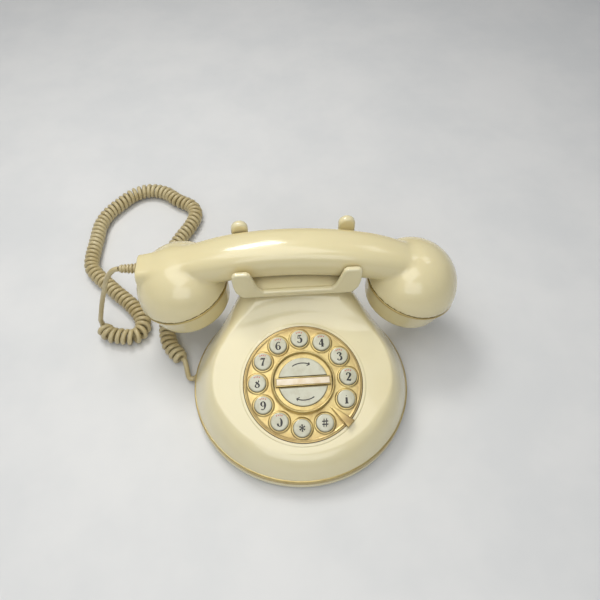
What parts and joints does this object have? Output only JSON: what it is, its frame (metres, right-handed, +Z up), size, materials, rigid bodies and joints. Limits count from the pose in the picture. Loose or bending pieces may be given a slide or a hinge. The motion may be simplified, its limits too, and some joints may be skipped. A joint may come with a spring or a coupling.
{
  "type": "push-button telephone",
  "caption": "Retro desk telephone: ivory bell-shaped base with push keys set round a fixed gold dial plate, a lift-off handset on a cradle and a curly cord.",
  "frame": {"origin": "middle of the round base, on the surface that the telephone stands on", "axes": "+X to the right along the handset, +Y to the back, +Z up"},
  "size_m": [0.3093, 0.318, 0.1089],
  "materials": {
    "ivory_plastic": "glossy aged ivory moulding",
    "gold_trim": "brushed, lacquered, browned towards its rim",
    "key_white": "glossy grey-white key cap",
    "dark_rubber": "matt black",
    "steel": "zinc plated",
    "dark_plastic": "matt black moulding",
    "circuit_board": "green circuit board",
    "label_card": "blank cream card",
    "ribbon": "flat grey ribbon cable",
    "ivory_cord": "satin ivory cord sheath"
  },
  "bodies": {
    "base": {"housing_shell": "ivory_plastic", "base_plate": "ivory_plastic", "base_trim_ring": "gold_trim", "foot_ring": "dark_rubber", "base_screws": "steel", "dial_plate": "gold_trim", "dial_center_ring": "gold_trim", "center_insert": "gold_trim", "label_bar": "gold_trim", "label_card": "label_card", "finger_stop": "gold_trim", "keypad_frame": "dark_plastic", "keypad_mat": "dark_rubber", "keypad_board": "circuit_board", "keypad_screws": "steel", "keypad_ribbon": "ribbon", "main_board": "circuit_board", "sounder": "dark_plastic", "ballast_plate": "steel", "line_jack": "dark_plastic", "ringer_switch_body": "dark_plastic", "hook_bracket": "dark_plastic", "hook_pin": "steel", "hook_switch": "dark_plastic", "hook_spring": "steel", "cord_grommet": "ivory_cord", "cord_tail_lower": "ivory_cord", "cord_curl": "ivory_cord", "cord_tail_upper": "ivory_cord"},
    "cradle": {"cradle": "ivory_plastic"},
    "hook_lever": {"hook_lever": "dark_plastic"},
    "ringer_knob": {"ringer_switch_knob": "ivory_plastic"},
    "handset": {"handset_shell": "ivory_plastic", "ear_cap": "ivory_plastic", "mouth_cap": "ivory_plastic", "ear_trim_ring": "gold_trim", "mouth_trim_ring": "gold_trim", "receiver_capsule": "dark_plastic", "microphone_capsule": "dark_plastic", "capsule_gaskets": "dark_rubber", "handset_weight": "steel", "handset_cord_relief": "ivory_cord"},
    "key_1": {"key_1": "key_white"},
    "key_2": {"key_2": "key_white"},
    "key_3": {"key_3": "key_white"},
    "key_4": {"key_4": "key_white"},
    "key_5": {"key_5": "key_white"},
    "key_6": {"key_6": "key_white"},
    "key_7": {"key_7": "key_white"},
    "key_8": {"key_8": "key_white"},
    "key_9": {"key_9": "key_white"},
    "key_0": {"key_0": "key_white"},
    "key_star": {"key_star": "key_white"},
    "key_hash": {"key_hash": "key_white"},
    "redial_key": {"redial_key": "key_white"},
    "recall_key": {"recall_key": "key_white"}
  },
  "joints": [
    {"name": "handset_lift", "type": "slide", "parent": "base", "child": "handset", "axis": [0, 0, 1], "range_m": [0, 0.08]},
    {"name": "cradle_rise", "type": "slide", "parent": "base", "child": "cradle", "axis": [0, 0, 1], "range_m": [0, 0.004], "deforming": ["hook_spring"]},
    {"name": "hook_lever_swing", "type": "hinge", "parent": "base", "child": "hook_lever", "pos_m": [0, 0.066, 0.052], "axis": [-1, 0, 0], "range_deg": [0, 11.5]},
    {"name": "ringer_switch_slide", "type": "slide", "parent": "base", "child": "ringer_knob", "axis": [1, 0, 0], "range_m": [-0.0025, 0.0025]},
    {"name": "key_1_press", "type": "slide", "parent": "base", "child": "key_1", "axis": [0, 0.2756, -0.9613], "range_m": [0, 0.0015], "stiffness_N_per_m": 300, "springref_m": -0.001},
    {"name": "key_2_press", "type": "slide", "parent": "base", "child": "key_2", "axis": [0, 0.2756, -0.9613], "range_m": [0, 0.0015], "stiffness_N_per_m": 300, "springref_m": -0.001},
    {"name": "key_3_press", "type": "slide", "parent": "base", "child": "key_3", "axis": [0, 0.2756, -0.9613], "range_m": [0, 0.0015], "stiffness_N_per_m": 300, "springref_m": -0.001},
    {"name": "key_4_press", "type": "slide", "parent": "base", "child": "key_4", "axis": [0, 0.2756, -0.9613], "range_m": [0, 0.0015], "stiffness_N_per_m": 300, "springref_m": -0.001},
    {"name": "key_5_press", "type": "slide", "parent": "base", "child": "key_5", "axis": [0, 0.2756, -0.9613], "range_m": [0, 0.0015], "stiffness_N_per_m": 300, "springref_m": -0.001},
    {"name": "key_6_press", "type": "slide", "parent": "base", "child": "key_6", "axis": [0, 0.2756, -0.9613], "range_m": [0, 0.0015], "stiffness_N_per_m": 300, "springref_m": -0.001},
    {"name": "key_7_press", "type": "slide", "parent": "base", "child": "key_7", "axis": [0, 0.2756, -0.9613], "range_m": [0, 0.0015], "stiffness_N_per_m": 300, "springref_m": -0.001},
    {"name": "key_8_press", "type": "slide", "parent": "base", "child": "key_8", "axis": [0, 0.2756, -0.9613], "range_m": [0, 0.0015], "stiffness_N_per_m": 300, "springref_m": -0.001},
    {"name": "key_9_press", "type": "slide", "parent": "base", "child": "key_9", "axis": [0, 0.2756, -0.9613], "range_m": [0, 0.0015], "stiffness_N_per_m": 300, "springref_m": -0.001},
    {"name": "key_0_press", "type": "slide", "parent": "base", "child": "key_0", "axis": [0, 0.2756, -0.9613], "range_m": [0, 0.0015], "stiffness_N_per_m": 300, "springref_m": -0.001},
    {"name": "key_star_press", "type": "slide", "parent": "base", "child": "key_star", "axis": [0, 0.2756, -0.9613], "range_m": [0, 0.0015], "stiffness_N_per_m": 300, "springref_m": -0.001},
    {"name": "key_hash_press", "type": "slide", "parent": "base", "child": "key_hash", "axis": [0, 0.2756, -0.9613], "range_m": [0, 0.0015], "stiffness_N_per_m": 300, "springref_m": -0.001},
    {"name": "redial_key_press", "type": "slide", "parent": "base", "child": "redial_key", "axis": [0, 0.2756, -0.9613], "range_m": [0, 0.0015], "stiffness_N_per_m": 300, "springref_m": -0.001},
    {"name": "recall_key_press", "type": "slide", "parent": "base", "child": "recall_key", "axis": [0, 0.2756, -0.9613], "range_m": [0, 0.0015], "stiffness_N_per_m": 300, "springref_m": -0.001}
  ],
  "couplings": [
    {"joint": "cradle_rise", "follows": "handset_lift", "ratio": 0.05},
    {"joint": "hook_lever_swing", "follows": "handset_lift", "rad_per_m": 2.4}
  ]
}
